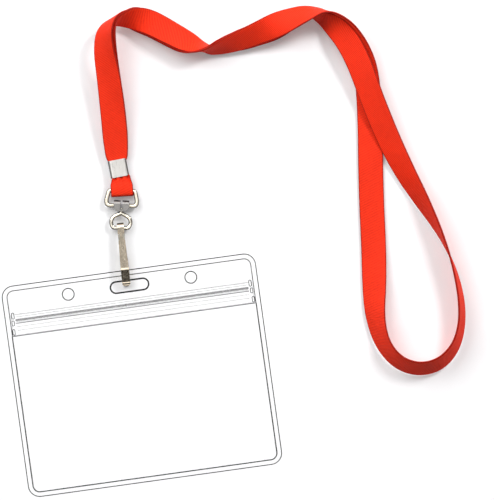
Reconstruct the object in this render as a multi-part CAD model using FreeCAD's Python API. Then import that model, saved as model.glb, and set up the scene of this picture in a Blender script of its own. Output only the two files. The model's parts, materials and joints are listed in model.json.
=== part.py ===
"""Lanyard badge holder lying on a table: a flat neck ribbon crimped to a swivel J-hook, and a clear
zip-top vinyl badge holder that hangs from the hook by its slot.

Millimetres. +X runs along the badge's width, +Y from the badge towards the lanyard and +Z up from the
table. The origin is on the table under the middle of everything but the neck ribbon.
Each piece of hardware is built in a local frame of its own: u across the chain, v along it, away from
the badge, and w up.
"""
import FreeCAD, Part
import math
import os

from FreeCAD import Placement, Rotation, Vector

# --- ribbon ---------------------------------------------------------------------------------------
RIBBON_WIDTH = 9.5
RIBBON_THICKNESS = 0.8
RIBBON_MOUTH_WIDTH = 4.8  # gathered width inside the crimp
GATHER_LENGTH = 9.0  # over which the ribbon opens out from the crimp to its full width
ARC_STEP = math.radians(12)
REACH = 6.0  # how far a cutting tool runs past what it cuts

# The ribbon's centre line from one end in the crimp, round the neck loop and back into the crimp.
# Each row is x, y, z and the roll about the line in degrees, 0 where the ribbon lies flat.
ROUTE = [
    (1.7, 59.0, 2.5, 0),
    (2.3, 68.0, 3.4, 0),
    (2.9, 80.0, 6.0, -6),
    (3.1, 93.0, 8.4, -20),
    (2.7, 103.4, 10.4, -36),
    (4.0, 111.0, 11.0, -54),
    (8.0, 115.4, 8.0, -88),
    (13.5, 114.9, 3.8, -140),
    (20.0, 111.5, 2.4, -192),
    (27.0, 106.3, 2.4, -200),
    (34.4, 100.2, 3.6, -222),
    (40.0, 97.1, 5.4, -276),
    (46.8, 98.0, 5.4, -302),
    (55.0, 99.8, 6.0, -322),
    (65.0, 102.5, 7.6, -338),
    (74.0, 104.9, 8.6, -388),
    (81.0, 106.6, 8.6, -410),
    (88.6, 106.8, 7.4, -450),
    (95.2, 101.1, 5.8, -470),
    (98.7, 93.2, 4.6, -490),
    (100.3, 83.5, 2.8, -518),
    (100.0, 73.0, 1.6, -534),
    (98.9, 61.0, 1.0, -538),
    (97.0, 46.0, 0.8, -540),
    (95.3, 31.0, 0.8, -540),
    (94.0, 16.0, 0.9, -538),
    (92.3, 2.0, 2.0, -525),
    (90.6, -11.0, 4.0, -498),
    (92.0, -22.0, 4.9, -484),
    (97.0, -29.8, 5.0, -482),
    (104.5, -33.4, 5.0, -482),
    (112.5, -32.6, 5.0, -480),
    (119.0, -27.5, 5.1, -472),
    (122.8, -19.5, 5.2, -466),
    (124.2, -9.0, 5.2, -464),
    (123.0, 4.0, 5.2, -456),
    (119.6, 17.0, 5.2, -440),
    (114.4, 30.0, 4.6, -415),
    (109.3, 42.2, 3.6, -396),
    (105.3, 54.2, 3.4, -382),
    (102.1, 66.2, 4.6, -378),
    (99.6, 77.0, 6.0, -378),
    (97.6, 86.3, 6.4, -370),
    (94.0, 95.9, 6.6, -372),
    (88.0, 103.3, 5.8, -405),
    (79.6, 105.8, 4.9, -468),
    (72.0, 104.0, 2.8, -512),
    (63.0, 101.6, 2.4, -562),
    (54.5, 99.8, 3.0, -572),
    (47.3, 99.4, 5.1, -600),
    (41.0, 99.2, 5.2, -642),
    (35.0, 101.4, 4.8, -690),
    (27.5, 107.0, 5.0, -706),
    (20.4, 112.1, 5.0, -722),
    (13.8, 114.0, 5.6, -762),
    (9.0, 113.2, 8.0, -812),
    (5.4, 109.3, 9.8, -845),
    (3.7, 102.4, 8.4, -866),
    (3.1, 92.0, 3.8, -880),
    (3.0, 80.0, 1.1, -894),
    (2.4, 68.0, 0.9, -900),
    (1.7, 59.0, 1.3, -900),
]

# --- crimp and the ribbon fold under it -----------------------------------------------------------
CRIMP_CENTRE = (1.97, 58.05)
CRIMP_TURN = 3.0
CRIMP_WIDTH = 7.0
CRIMP_LENGTH = 6.6
CRIMP_DEPTH = 3.8
CRIMP_SHEET = 0.45
CRIMP_CORNER = 0.9
CRIMP_SEAM = 0.6

FOLD_WIDTH = 8.6  # of the ribbon fold beside the bail's bar
FOLD_FOOT_WIDTH = 8.0  # of the fold's turn under the bar
FOLD_MOUTH_WIDTH = 4.0  # of its gathered top, inside the crimp
FOLD_GAP = 0.15  # between the bar and the fold
FOLD_SLACK = 0.4  # the fold's free play under the bar
FOLD_MOUTH_GAP = 0.1  # between the fold and the crimp's inside
FOLD_BEND = 2.0
FOLD_TURN = -4.0  # of the fold about Z, between the crimp's and the bail's
FOLD_PINCH = 0.4  # below the crimp, where the fold is still flat and gathered
FOLD_OPEN = 1.2  # above the bar, where the fold has opened round it
FOLD_INSERT = 2.6  # how far the fold and the ribbon reach into the crimp
BAR_DROP = 5.3  # from the crimp's lower end to the bar

# --- swivel ---------------------------------------------------------------------------------------
CHAIN_TURN = -10.0  # of the bail, saddle and eye about Z, as they lie
CHAIN_HEIGHT = 2.0  # of the middle of the bail, saddle and eye above the table
WIRE_RADIUS = 0.8  # bail
FOOT_RADIUS = 0.7  # bail's turned-in ends
BAR_HALF = 4.9  # half the length of the bail's bar
BAIL_HALF_WIDTH = 5.7  # at the bail's widest, to the middle of the wire
BAIL_HEIGHT = 5.7  # from the feet to the bar
BAIL_SHOULDER = 2.2  # height of the widest place above the feet
BAIL_FLARE = 0.05  # how much wider the bail is there than at its feet
BAIL_BEND = 1.1
FOOT_GAP = 0.6  # from the middle to each foot's inner end
FOOT_CLEARANCE = 0.85  # between the saddle's side and the bail's full thickness
RUNNING_FIT = 0.05

SADDLE_WIDTH = 5.9
SADDLE_DEPTH = 3.2
SADDLE_TOP = 2.0
SADDLE_BOTTOM = -2.1
SADDLE_BASE = 0.6
SADDLE_ROUND = 0.95  # the knuckles' rounding, as a share of half their depth
SADDLE_WAIST = -0.9  # where the saddle's sides start to slope in to its base
SADDLE_FOOT_HALF = 1.9
KNUCKLE_GAP = 0.8
STEM_RADIUS = 0.7
HEAD_RADIUS = 1.05
HEAD_THICKNESS = 0.45
HEAD_CLEARANCE = 0.1

EYE_WIRE_RADIUS = 0.72
EYE_TOP = -2.7  # from the feet to the top of the teardrop
EYE_DROP = 8.5  # from the feet to the teardrop's lowest wire
EYE_HALF_WIDTH = 4.4  # at the sides, before rounding
EYE_SHOULDER = -6.0
EYE_FLAT = 2.3  # half the length of the lowest side, before rounding
EYE_BEND = 2.0
EYE_LOW_BEND = 2.0

# --- hook -----------------------------------------------------------------------------------------
HOOK_TURN = -2.0
STRIP_THICKNESS = 0.95
STRIP_TOP_WIDTH = 2.6
STRIP_FOOT_WIDTH = 3.1
CURL_GAP = 0.3  # between the curl and the eye's wire
CURL_END = -150.0  # angle at which the curl stops, behind the wire
SHANK_LENGTH = 15.5  # from the wire to the shoulder of the J
SHOULDER_HEIGHT = 4.9  # middle of the strip above the table at the shoulder
HOOK_LENGTH = 22.3  # from the wire to the outside of the J's bend
SHOULDER_BEND = 2.4
BEND_RADIUS = 1.28  # of the J, to the middle of the strip
TIP_ROUND = 1.2  # rounding of the strip's sides over the J's outside
TIP_STEPS = (0, 25, 50, 80)  # angles round it
RETURN_LENGTH = 9.0  # of the leg under the badge
NOTCH_DEPTH = 0.35
NOTCH_START = 2.3  # from the wire to the notches for the gate's collar
NOTCH_LENGTH = 2.2

COLLAR_SHEET = 0.3
COLLAR_GAP = 0.03
COLLAR_END_GAP = 0.15
COLLAR_SLIT = 1.2
GATE_WIDTH = 2.0
GATE_THICKNESS = 0.25
GATE_SETBACK = 0.2  # of the leaf's root from the notches
GATE_DROP = 0.25  # between the strip and the leaf's root
GATE_FLAT = 1.6  # the leaf's straight root
GATE_TIP_FLAT = 0.9
GATE_BENDS = [0.9, 0.6]
GATE_REACH = 12.6  # from the wire to the leaf's tip
GATE_TIP_GAP = 0.12  # between the leaf's tip and the return leg

# --- badge ----------------------------------------------------------------------------------------
BADGE_WIDTH = 97.4
BADGE_HEIGHT = 81.0
BADGE_CORNER = 4.5
FILM = 0.35
POCKET_GAP = 0.7
WELD_WIDTH = 2.2
BEAD_HEIGHT = 0.25
BEAD_WIDTH = 0.5
BADGE_LIFT_GAP = 0.1  # between the badge's back and the hook's return leg
HOOK_OFFSET = -1.1  # of the hook from the middle of the slot

SLOT_MARGIN = 6.2  # from the badge's top edge to the middle of the slot and the holes
SLOT_LENGTH = 14.0
SLOT_WIDTH = 3.7
SLOT_AHEAD = 0.1  # of the slot's middle above the outside of the J's bend
HOLE_SPACING = 47.0
HOLE_RADIUS = 2.05

LIP_TOP = 10.9  # from the badge's top edge to the lip's upper edge
ZIP_LINE = 13.8  # to the middle of the zip
ZIP_FOOT = 19.2  # to the lower edge of the zip strip, where the window starts
LIP_GAP = 0.25
ZIP_END = 1.6  # width of the crushed weld at each end of the zip
ZIP_END_HEIGHT = 5.0
RAIL_WIDTH = 0.5
CHANNEL_GAP = 0.12
CHANNEL_WALL = 0.4
TRACK_CLEARANCE = 0.1
RIB_COUNT = 3
RIB_START = 0.3  # from the lip's upper edge to the first rib
RIB_WIDTH = 0.3
RIB_HEIGHT = 0.15
RIB_PITCH = 0.8


def placed(shape, at, turn, height=0.0):
    """The shape turned about Z and carried to a place on the table."""
    shape = shape.copy()
    move = Placement(Vector(at[0], at[1], height), Rotation(Vector(0, 0, 1), turn))
    shape.Placement = move.multiply(shape.Placement)
    return shape


def along(at, turn, u, v):
    """The place u across and v along a frame at a place and a turn."""
    angle = math.radians(turn)
    x = at[0] + u * math.cos(angle) - v * math.sin(angle)
    y = at[1] + u * math.sin(angle) + v * math.cos(angle)
    return (x, y)


# Places down the chain, each from the one above it.
CRIMP_MOUTH = along(CRIMP_CENTRE, CRIMP_TURN, 0, CRIMP_LENGTH / 2)
CRIMP_FOOT = along(CRIMP_CENTRE, CRIMP_TURN, 0, -CRIMP_LENGTH / 2)
BAR_CENTRE = along(CRIMP_FOOT, 0, 0, -BAR_DROP)
SADDLE_CENTRE = along(BAR_CENTRE, CHAIN_TURN, 0, -BAIL_HEIGHT)
EYE_WIRE = along(SADDLE_CENTRE, CHAIN_TURN, 0, -EYE_DROP)
HOOK_FOOT = along(EYE_WIRE, HOOK_TURN, 0, -HOOK_LENGTH)
SLOT_CENTRE = (HOOK_FOOT[0] - HOOK_OFFSET, HOOK_FOOT[1] + SLOT_AHEAD)
BADGE_TOP = SLOT_CENTRE[1] + SLOT_MARGIN


# --- shared shapes --------------------------------------------------------------------------------
def corner_arcs(points, radii):
    """Straight runs along the points joined by tangent arcs, as edges, with the arcs' middles."""
    edges = []
    start = points[0]
    for i in range(1, len(points) - 1):
        back = (points[i - 1] - points[i]).normalize()
        ahead = (points[i + 1] - points[i]).normalize()
        half_turn = (math.pi - back.getAngle(ahead)) / 2
        reach = radii[i - 1] * math.tan(half_turn)
        first = points[i] + back * reach
        last = points[i] + ahead * reach
        inward = (back + ahead).normalize()
        middle = points[i] + inward * (radii[i - 1] / math.cos(half_turn) - radii[i - 1])
        if (first - start).Length > 1e-6:
            edges.append(Part.LineSegment(start, first).toShape())
        edges.append(Part.Arc(first, middle, last).toShape())
        start = last
    if (points[-1] - start).Length > 1e-6:
        edges.append(Part.LineSegment(start, points[-1]).toShape())
    return edges


def wire_rod(path, radius):
    """A round wire swept along a path."""
    start = path.Edges[0].Vertexes[0].Point
    tangent = path.Edges[0].tangentAt(path.Edges[0].FirstParameter)
    section = Part.Wire(Part.makeCircle(radius, start, tangent))
    return path.makePipeShell([section], True, False)


def bent_strip(edges, thickness, width):
    """A strip of sheet: a centre line in the v-w plane, thickened and drawn out across u."""
    line = Part.Wire(edges)
    side = line.makeOffset2D(thickness / 2, 0, False, True)
    face = side.makeOffset2D(-thickness, 0, True, True)
    solid = face.extrude(Vector(width, 0, 0))
    solid.translate(Vector(-width / 2, 0, 0))
    return solid


def outline_prism(points, low, high):
    """A prism over an outline in the u-v plane."""
    corners = [Vector(u, v, low) for u, v in points]
    face = Part.Face(Part.makePolygon(corners + corners[:1]))
    return face.extrude(Vector(0, 0, high - low))


def rounded_plate(width, low_y, high_y, low_z, thickness, corner):
    """A plate centred on X with rounded corners."""
    plate = Part.makeBox(width, high_y - low_y, thickness, Vector(-width / 2, low_y, low_z))
    upright = [e for e in plate.Edges if abs(e.tangentAt(e.FirstParameter).z) > 0.5]
    return plate.makeFillet(corner, upright)


def box(width, low_y, high_y, low_z, high_z, middle_x=0.0):
    """A box centred on a given X."""
    corner = Vector(middle_x - width / 2, low_y, low_z)
    return Part.makeBox(width, high_y - low_y, high_z - low_z, corner)


# --- ribbon ---------------------------------------------------------------------------------------
def ribbon_stations():
    """Places, directions, rolls and widths of the ribbon's sections along its route."""
    points = [Vector(x, y, z) for x, y, z, _ in ROUTE]
    rolls = [row[3] for row in ROUTE]
    radii = []
    for i in range(1, len(points) - 1):
        back = points[i - 1] - points[i]
        ahead = points[i + 1] - points[i]
        half_turn = (math.pi - back.getAngle(ahead)) / 2
        radii.append(0.45 * min(back.Length, ahead.Length) / math.tan(half_turn))
    edges = corner_arcs(points, radii)
    print("ribbon length %.1f, radii" % sum(e.Length for e in edges), [round(r) for r in radii])
    marks = [(0.0, rolls[0])]
    travelled = 0.0
    corner = 0
    for edge in edges:
        if isinstance(edge.Curve, Part.Circle):
            corner += 1
            marks.append((travelled + edge.Length / 2, rolls[corner]))
        travelled += edge.Length
    marks.append((travelled, rolls[-1]))
    stations = []
    done = 0.0
    for edge in edges:
        arc = isinstance(edge.Curve, Part.Circle)
        pieces = math.ceil((edge.LastParameter - edge.FirstParameter) / ARC_STEP) if arc else 1
        if edge in (edges[0], edges[-1]):
            pieces = math.ceil(edge.Length / (FOLD_INSERT / 2))
        for step in range(pieces):
            parameter = edge.getParameterByLength(edge.Length * step / pieces)
            distance = done + edge.Length * step / pieces
            stations.append((edge.valueAt(parameter), edge.tangentAt(parameter), distance))
        done += edge.Length
    last = edges[-1]
    stations.append((last.valueAt(last.LastParameter), last.tangentAt(last.LastParameter), done))
    return [(place, way, roll_at(marks, s), width_at(s, done)) for place, way, s in stations]


def roll_at(marks, distance):
    """The roll between the two marks that a distance lies between."""
    for (s0, r0), (s1, r1) in zip(marks, marks[1:]):
        if distance <= s1 + 1e-6:
            return r0 + (r1 - r0) * (distance - s0) / (s1 - s0)
    return marks[-1][1]


def width_at(distance, length):
    """The ribbon's width: gathered inside the crimp and full a little way out of it."""
    out = max(0.0, min(distance, length - distance) - FOLD_INSERT)
    share = min(1.0, out / GATHER_LENGTH)
    return RIBBON_MOUTH_WIDTH + (RIBBON_WIDTH - RIBBON_MOUTH_WIDTH) * math.sqrt(share)


def neck_ribbon():
    """The flat ribbon as flat facets between its sections."""
    rings = []
    for place, way, roll, width in ribbon_stations():
        level = Vector(0, 0, 1).cross(way).normalize()
        upward = way.cross(level)
        angle = math.radians(roll)
        across = level * math.cos(angle) + upward * math.sin(angle)
        normal = upward * math.cos(angle) - level * math.sin(angle)
        side = across * (width / 2)
        skin = normal * (RIBBON_THICKNESS / 2)
        rings.append([place + side + skin, place - side + skin, place - side - skin, place + side - skin])
    faces = [facet(rings[0]), facet(rings[-1])]
    for ring, following in zip(rings, rings[1:]):
        for k in range(4):
            pair = (k, (k + 1) % 4) if k < 2 else ((k + 1) % 4, k)
            faces.append(facet([ring[pair[0]], ring[pair[1]], following[pair[1]]]))
            faces.append(facet([ring[pair[0]], following[pair[1]], following[pair[0]]]))
    solid = Part.Solid(Part.makeShell(faces))
    return solid if solid.Volume > 0 else Part.Solid(Part.makeShell([f.reversed() for f in faces]))


def facet(corners):
    """A flat face on its corners."""
    return Part.Face(Part.makePolygon(corners + corners[:1]))


# --- crimp and fold -------------------------------------------------------------------------------
def crimp():
    """Sheet folded into a flat tube round the ribbon, its seam at the back."""
    half_u = (CRIMP_WIDTH - CRIMP_SHEET) / 2
    half_w = (CRIMP_DEPTH - CRIMP_SHEET) / 2
    seam = CRIMP_SEAM / 2
    corners = [(seam, -half_w), (half_u, -half_w), (half_u, half_w)]
    corners += [(-u, w) for u, w in reversed(corners)]
    points = [Vector(0, u, w) for u, w in corners]
    edges = corner_arcs(points, [CRIMP_CORNER] * (len(points) - 2))
    sleeve = bent_strip(edges, CRIMP_SHEET, CRIMP_LENGTH)
    sleeve.rotate(Vector(0, 0, 0), Vector(0, 0, 1), 90)
    return placed(sleeve, CRIMP_CENTRE, CRIMP_TURN, CHAIN_HEIGHT)


def bail_loop():
    """The ribbon's tail folded round the bail's bar, with both its layers in the crimp."""
    middle = WIRE_RADIUS + FOLD_GAP + RIBBON_THICKNESS / 2
    top = BAR_DROP + FOLD_INSERT
    mouth = CRIMP_DEPTH / 2 - CRIMP_SHEET - RIBBON_THICKNESS / 2 - FOLD_MOUTH_GAP
    points = [Vector(0, top, -mouth), Vector(0, BAR_DROP - FOLD_PINCH, -mouth),
              Vector(0, FOLD_OPEN, -middle), Vector(0, -FOLD_SLACK, -middle)]
    lead_in = corner_arcs(points, [FOLD_BEND, FOLD_BEND])
    turn = Part.Arc(Vector(0, -FOLD_SLACK, -middle), Vector(0, -FOLD_SLACK - middle, 0),
                    Vector(0, -FOLD_SLACK, middle)).toShape()
    back = [e.mirror(Vector(0, 0, 0), Vector(0, 0, 1)) for e in reversed(lead_in)]
    band = bent_strip(Part.__sortEdges__(lead_in + [turn] + back), RIBBON_THICKNESS, 2 * FOLD_WIDTH)
    foot = FOLD_FOOT_WIDTH / 2
    beside = FOLD_WIDTH / 2
    neck = FOLD_MOUTH_WIDTH / 2
    side = [(foot, -REACH), (foot, -middle), (beside, 0), (beside, FOLD_OPEN), (neck, BAR_DROP - FOLD_PINCH),
            (neck, top + REACH)]
    outline = side + [(-u, v) for u, v in reversed(side)]
    band = band.common(outline_prism(outline, -REACH, REACH))
    return placed(band, BAR_CENTRE, FOLD_TURN, CHAIN_HEIGHT)


# --- swivel ---------------------------------------------------------------------------------------
def d_bail():
    """Bent wire: a bar for the ribbon, two flared sides and two feet turned in to the saddle."""
    side = [(FOOT_GAP, 0.0), (BAIL_HALF_WIDTH, 0.0), (BAIL_HALF_WIDTH + BAIL_FLARE, BAIL_SHOULDER),
            (BAR_HALF, BAIL_HEIGHT)]
    outline = side + [(-u, v) for u, v in reversed(side)]
    points = [Vector(u, v, 0) for u, v in outline]
    radii = [BAIL_BEND] * (len(points) - 2)
    path = Part.Wire(corner_arcs(points, radii))
    rod = wire_rod(path, WIRE_RADIUS)
    foot_length = SADDLE_WIDTH / 2 + FOOT_CLEARANCE - FOOT_GAP
    for way in (-1, 1):
        inner_end, outward = Vector(way * FOOT_GAP, 0, 0), Vector(way, 0, 0)
        thick = Part.makeCylinder(2 * WIRE_RADIUS, foot_length, inner_end, outward)
        thin = Part.makeCylinder(FOOT_RADIUS, foot_length, inner_end, outward)
        rod = rod.cut(thick.cut(thin))
    return placed(rod, SADDLE_CENTRE, CHAIN_TURN, CHAIN_HEIGHT)


def swivel_saddle():
    """Two knuckles on the bail's feet, standing on a base with a hole for the eye's stem."""
    half = SADDLE_DEPTH / 2
    height = SADDLE_TOP - SADDLE_BOTTOM
    block = box(SADDLE_WIDTH, SADDLE_BOTTOM, SADDLE_TOP, -half, half)
    across = [e for e in block.Edges if abs(e.tangentAt(e.FirstParameter).x) > 0.5
              and e.CenterOfMass.y > 0]
    block = block.makeFillet(half * SADDLE_ROUND, across)
    wide = SADDLE_WIDTH / 2
    low_corners = [(wide + REACH, SADDLE_BOTTOM - REACH), (wide + REACH, SADDLE_WAIST),
                   (wide, SADDLE_WAIST), (SADDLE_FOOT_HALF, SADDLE_BOTTOM),
                   (SADDLE_FOOT_HALF, SADDLE_BOTTOM - REACH)]
    for way in (-1, 1):
        block = block.cut(outline_prism([(way * u, v) for u, v in low_corners], -REACH, REACH))
    base_top = SADDLE_BOTTOM + SADDLE_BASE
    block = block.cut(box(KNUCKLE_GAP, base_top, SADDLE_TOP + REACH, -REACH, REACH))
    feet = Part.makeCylinder(FOOT_RADIUS + RUNNING_FIT, SADDLE_WIDTH + 2 * REACH,
                             Vector(-wide - REACH, 0, 0), Vector(1, 0, 0))
    stem = Part.makeCylinder(STEM_RADIUS + RUNNING_FIT, height,
                             Vector(0, base_top - height, 0), Vector(0, 1, 0))
    seat = Part.makeCylinder(HEAD_RADIUS + HEAD_CLEARANCE, HEAD_THICKNESS + 2 * HEAD_CLEARANCE,
                             Vector(0, base_top, 0), Vector(0, 1, 0))
    return placed(block.cut(feet).cut(stem).cut(seat), SADDLE_CENTRE, CHAIN_TURN, CHAIN_HEIGHT)


def eye_loop():
    """A teardrop of wire with a headed stem that turns in the saddle's base."""
    side = [(0.0, EYE_TOP), (EYE_HALF_WIDTH, EYE_SHOULDER), (EYE_FLAT, -EYE_DROP)]
    points = [Vector(u, v, 0) for u, v in side]
    mirrored = [Vector(-p.x, p.y, 0) for p in reversed(points[1:])]
    ring = points + mirrored + [points[0]]
    edges = corner_arcs(ring, [EYE_BEND, EYE_LOW_BEND, EYE_LOW_BEND, EYE_BEND])
    loop = [wire_rod(Part.Wire([edge]), EYE_WIRE_RADIUS) for edge in edges]
    tip = Part.makeSphere(EYE_WIRE_RADIUS, points[0])
    base_top = SADDLE_BOTTOM + SADDLE_BASE + HEAD_CLEARANCE
    stem = Part.makeCylinder(STEM_RADIUS, base_top - EYE_TOP, points[0], Vector(0, 1, 0))
    head = Part.makeCylinder(HEAD_RADIUS, HEAD_THICKNESS, Vector(0, base_top, 0), Vector(0, 1, 0))
    return placed(tip.fuse(loop + [stem, head]), SADDLE_CENTRE, CHAIN_TURN, CHAIN_HEIGHT)


# --- hook -----------------------------------------------------------------------------------------
CURL_RADIUS = EYE_WIRE_RADIUS + CURL_GAP + STRIP_THICKNESS / 2
SHOULDER = SHOULDER_HEIGHT - CHAIN_HEIGHT
RETURN_LEVEL = STRIP_THICKNESS / 2 - CHAIN_HEIGHT
BEND_CENTRE = -HOOK_LENGTH + BEND_RADIUS + STRIP_THICKNESS / 2


def hook_edges():
    """The J-hook's centre line: the curl, the shank, the J and the return leg."""
    rise = math.atan2(SHOULDER - CURL_RADIUS, SHANK_LENGTH)
    start = Vector(0, CURL_RADIUS * math.sin(rise), CURL_RADIUS * math.cos(rise))
    end_angle = math.radians(CURL_END)
    half_angle = (math.pi / 2 - rise + end_angle) / 2
    middle = Vector(0, math.cos(half_angle), math.sin(half_angle)) * CURL_RADIUS
    end = Vector(0, math.cos(end_angle), math.sin(end_angle)) * CURL_RADIUS
    curl = Part.Arc(end, middle, start).toShape()
    bend_top = Vector(0, BEND_CENTRE, RETURN_LEVEL + 2 * BEND_RADIUS)
    shank = corner_arcs([start, Vector(0, -SHANK_LENGTH, SHOULDER), bend_top], [SHOULDER_BEND])
    foot = Vector(0, BEND_CENTRE - BEND_RADIUS, RETURN_LEVEL + BEND_RADIUS)
    low = Vector(0, BEND_CENTRE, RETURN_LEVEL)
    bend = Part.Arc(bend_top, foot, low).toShape()
    leg = Part.LineSegment(low, Vector(0, BEND_CENTRE + RETURN_LENGTH, RETURN_LEVEL)).toShape()
    return [curl] + shank + [bend, leg]


def hook_outline():
    """The strip's outline seen along w: tapered, with the two notches for the collar."""
    top = CURL_RADIUS + REACH
    half_top = STRIP_TOP_WIDTH / 2
    half_foot = STRIP_FOOT_WIDTH / 2
    notch_end = NOTCH_START + NOTCH_LENGTH
    side = [(half_top, top), (half_top, -NOTCH_START), (half_top - NOTCH_DEPTH, -NOTCH_START),
            (half_top - NOTCH_DEPTH, -notch_end), (half_top, -notch_end), (half_foot, -SHANK_LENGTH)]
    for angle in (math.radians(step) for step in TIP_STEPS):
        side.append((half_foot - TIP_ROUND * (1 - math.cos(angle)),
                     -HOOK_LENGTH + TIP_ROUND * (1 - math.sin(angle))))
    return side + [(-u, v) for u, v in reversed(side)]


def hook_body():
    """One strip of nickel-plated steel, curled round the eye's wire and bent to a J."""
    strip = bent_strip(hook_edges(), STRIP_THICKNESS, STRIP_TOP_WIDTH + STRIP_FOOT_WIDTH)
    strip = strip.common(outline_prism(hook_outline(), -REACH, REACH))
    return placed(strip, EYE_WIRE, HOOK_TURN, CHAIN_HEIGHT)


def shank_level(v):
    """Height of the strip's middle on the shank."""
    rise = math.atan2(SHOULDER - CURL_RADIUS, SHANK_LENGTH)
    return CURL_RADIUS / math.cos(rise) - v * math.tan(rise)


def gate_collar():
    """The gate's clip: an open band round the strip at its two notches."""
    half = STRIP_TOP_WIDTH / 2 - NOTCH_DEPTH + COLLAR_GAP
    v_middle = -NOTCH_START - NOTCH_LENGTH / 2
    level = shank_level(v_middle)
    gap = STRIP_THICKNESS / 2 + COLLAR_GAP
    reach = NOTCH_LENGTH / 2 - COLLAR_END_GAP
    outer = box(2 * (half + COLLAR_SHEET), v_middle - reach, v_middle + reach,
                level - gap - COLLAR_SHEET, level + gap + COLLAR_SHEET)
    inner = box(2 * half, v_middle - REACH, v_middle + REACH, level - gap, level + gap)
    opening = box(COLLAR_SLIT, v_middle - REACH, v_middle + REACH, level, level + REACH)
    band = outer.cut(inner).cut(opening)
    rise = math.degrees(math.atan2(SHOULDER - CURL_RADIUS, SHANK_LENGTH))
    band.rotate(Vector(0, v_middle, level), Vector(1, 0, 0), -rise)
    return placed(band, EYE_WIRE, HOOK_TURN, CHAIN_HEIGHT)


def gate_root():
    """Place of the leaf's root under the collar, along and up in the hook's frame."""
    v_root = -NOTCH_START - NOTCH_LENGTH - GATE_SETBACK
    return (v_root, shank_level(v_root) - STRIP_THICKNESS / 2 - GATE_DROP - GATE_THICKNESS / 2)


def hook_gate():
    """The spring leaf from under the shank to the return leg's tip."""
    v_root, w_root = gate_root()
    tip = Vector(0, -GATE_REACH, RETURN_LEVEL + STRIP_THICKNESS / 2 + GATE_TIP_GAP + GATE_THICKNESS / 2)
    points = [Vector(0, v_root, w_root), Vector(0, v_root - GATE_FLAT, w_root),
              tip + Vector(0, GATE_TIP_FLAT, 0), tip]
    leaf = bent_strip(corner_arcs(points, GATE_BENDS), GATE_THICKNESS, GATE_WIDTH)
    return placed(leaf, EYE_WIRE, HOOK_TURN, CHAIN_HEIGHT)


# --- badge ----------------------------------------------------------------------------------------
BADGE_BOTTOM = BADGE_TOP - BADGE_HEIGHT
LIFT = STRIP_THICKNESS + BADGE_LIFT_GAP
BADGE_TILT = math.degrees(math.asin(LIFT / (BADGE_HEIGHT - SLOT_MARGIN)))
FRONT = FILM + POCKET_GAP


def tilted(shape):
    """The badge's piece moved under the hook and tipped up on its bottom edge."""
    shape = shape.copy()
    shape.translate(Vector(SLOT_CENTRE[0], 0, 0))
    shape.rotate(Vector(0, BADGE_BOTTOM, 0), Vector(1, 0, 0), BADGE_TILT)
    return shape


def punched(plate):
    """A header layer with the slot and the two round holes."""
    y = BADGE_TOP - SLOT_MARGIN
    half = SLOT_WIDTH / 2
    straight = SLOT_LENGTH - SLOT_WIDTH
    tools = [box(straight, y - half, y + half, -REACH, REACH)]
    for way in (-1, 1):
        tools.append(Part.makeCylinder(half, 2 * REACH, Vector(way * straight / 2, y, -REACH)))
        tools.append(Part.makeCylinder(HOLE_RADIUS, 2 * REACH, Vector(way * HOLE_SPACING / 2, y, -REACH)))
    return plate.cut(tools)


def back_film():
    """The back sheet, the badge's whole outline."""
    plate = rounded_plate(BADGE_WIDTH, BADGE_BOTTOM, BADGE_TOP, 0, FILM, BADGE_CORNER)
    return tilted(punched(plate))


def header_film():
    """The second layer round the slot and holes, inside the weld."""
    width = BADGE_WIDTH - 2 * WELD_WIDTH
    high = BADGE_TOP - WELD_WIDTH
    plate = box(width, BADGE_TOP - LIP_TOP + LIP_GAP, high, FILM, 2 * FILM)
    top_corners = [e for e in plate.Edges if abs(e.tangentAt(e.FirstParameter).z) > 0.5
                   and e.CenterOfMass.y > BADGE_TOP - SLOT_MARGIN]
    plate = plate.makeFillet(BADGE_CORNER - WELD_WIDTH, top_corners)
    return tilted(punched(plate))


def perimeter_weld():
    """The welded border between the front and the back, all round."""
    outer = rounded_plate(BADGE_WIDTH, BADGE_BOTTOM, BADGE_TOP, FILM, POCKET_GAP, BADGE_CORNER)
    inner = rounded_plate(BADGE_WIDTH - 2 * WELD_WIDTH, BADGE_BOTTOM + WELD_WIDTH, BADGE_TOP - WELD_WIDTH,
                          0, REACH, BADGE_CORNER - WELD_WIDTH)
    return tilted(outer.cut(inner))


def above_window():
    """The space above the window's upper edge, to cut away."""
    return box(BADGE_WIDTH + REACH, BADGE_TOP - ZIP_FOOT, BADGE_TOP + REACH, 0, REACH)


def front_film():
    """The clear window sheet below the zip strip."""
    plate = rounded_plate(BADGE_WIDTH, BADGE_BOTTOM, BADGE_TOP, FRONT, FILM, BADGE_CORNER)
    return tilted(plate.cut(above_window()))


LIP_WIDTH = BADGE_WIDTH - 2 * WELD_WIDTH - 2 * LIP_GAP
ZIP_Y = BADGE_TOP - ZIP_LINE
TRACK_WIDTH = LIP_WIDTH - 2 * ZIP_END - 2 * LIP_GAP


def zip_lip():
    """The front strip above the window, which lifts to open the zip."""
    strip = box(LIP_WIDTH, BADGE_TOP - ZIP_FOOT + LIP_GAP, BADGE_TOP - LIP_TOP, FRONT, FRONT + FILM)
    for way in (-1, 1):
        middle = way * (LIP_WIDTH / 2 - ZIP_END / 2)
        strip = strip.cut(box(ZIP_END + 2 * LIP_GAP, ZIP_Y - ZIP_END_HEIGHT / 2 - LIP_GAP,
                              BADGE_TOP, 0, REACH, middle))
    return tilted(strip)


def zip_rail():
    """The rib half of the zip, on the lip's inner side."""
    half = RAIL_WIDTH / 2
    return tilted(box(TRACK_WIDTH, ZIP_Y - half, ZIP_Y + half, FILM + TRACK_CLEARANCE, FRONT))


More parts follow.
